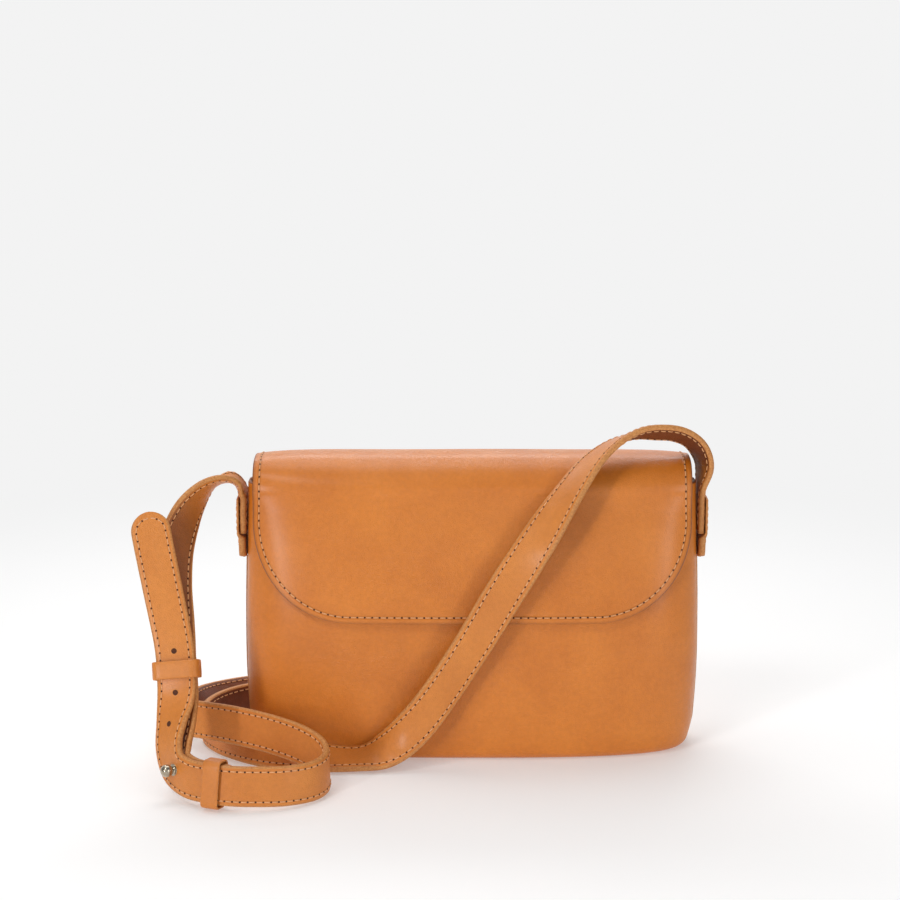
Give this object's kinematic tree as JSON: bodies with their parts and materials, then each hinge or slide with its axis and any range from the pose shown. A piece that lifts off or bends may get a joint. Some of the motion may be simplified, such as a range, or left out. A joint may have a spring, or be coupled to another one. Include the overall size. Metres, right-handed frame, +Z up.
{
  "type": "sling bag",
  "caption": "Small structured leather shoulder bag with a rounded front flap and a long strap that buckles on a ball stud.",
  "frame": {"origin": "middle of the bag's footprint, on the surface that it stands on", "axes": "+X to the viewer's right across the bag, -Y out of its front, +Z up"},
  "size_m": [0.3133, 0.189, 0.1861],
  "materials": {
    "bag_leather": "smooth vegetable-tanned cognac leather, soft satin sheen",
    "strap_leather": "tan leather strap, satin, stitched along both edges",
    "lining_leather": "matt brown suede side",
    "stiffener_board": "dark fibre board",
    "stud_metal": "antiqued polished metal",
    "closure_metal": "nickel-plated steel"
  },
  "bodies": {
    "body": {"front_panel": "bag_leather", "back_panel": "bag_leather", "base_panel": "bag_leather", "base_stiffener": "stiffener_board", "lining": "lining_leather", "inner_pocket": "lining_leather", "side_welt_left": "bag_leather", "side_welt_right": "bag_leather", "flap_root_strip": "bag_leather", "closure_magnet": "closure_metal", "strap_tab_left": "strap_leather", "strap_tab_right": "strap_leather", "long_strap": "strap_leather", "short_strap": "strap_leather", "stud_ball": "stud_metal", "stud_screw": "stud_metal"},
    "flap": {"flap_outer": "bag_leather", "flap_lining": "lining_leather", "flap_catch_plate": "closure_metal"},
    "upper_keeper": {"keeper_upper": "strap_leather"},
    "lower_keeper": {"keeper_lower": "strap_leather"}
  },
  "joints": [
    {"name": "flap_hinge", "type": "hinge", "parent": "body", "child": "flap", "pos_m": [0, 0.0178, 0.1602], "axis": [-1, 0, 0], "range_deg": [0, 180], "deforming": ["long_strap"]},
    {"name": "upper_keeper_slide", "type": "slide", "parent": "body", "child": "upper_keeper", "axis": [-0.0745, 0.333, 0.94], "range_m": [-0.003, 0.003], "deforming": ["long_strap", "short_strap"]},
    {"name": "lower_keeper_slide", "type": "slide", "parent": "body", "child": "lower_keeper", "axis": [-0.9564, 0.2901, 0.035], "range_m": [-0.003, 0.0015], "deforming": ["long_strap", "short_strap"]}
  ]
}
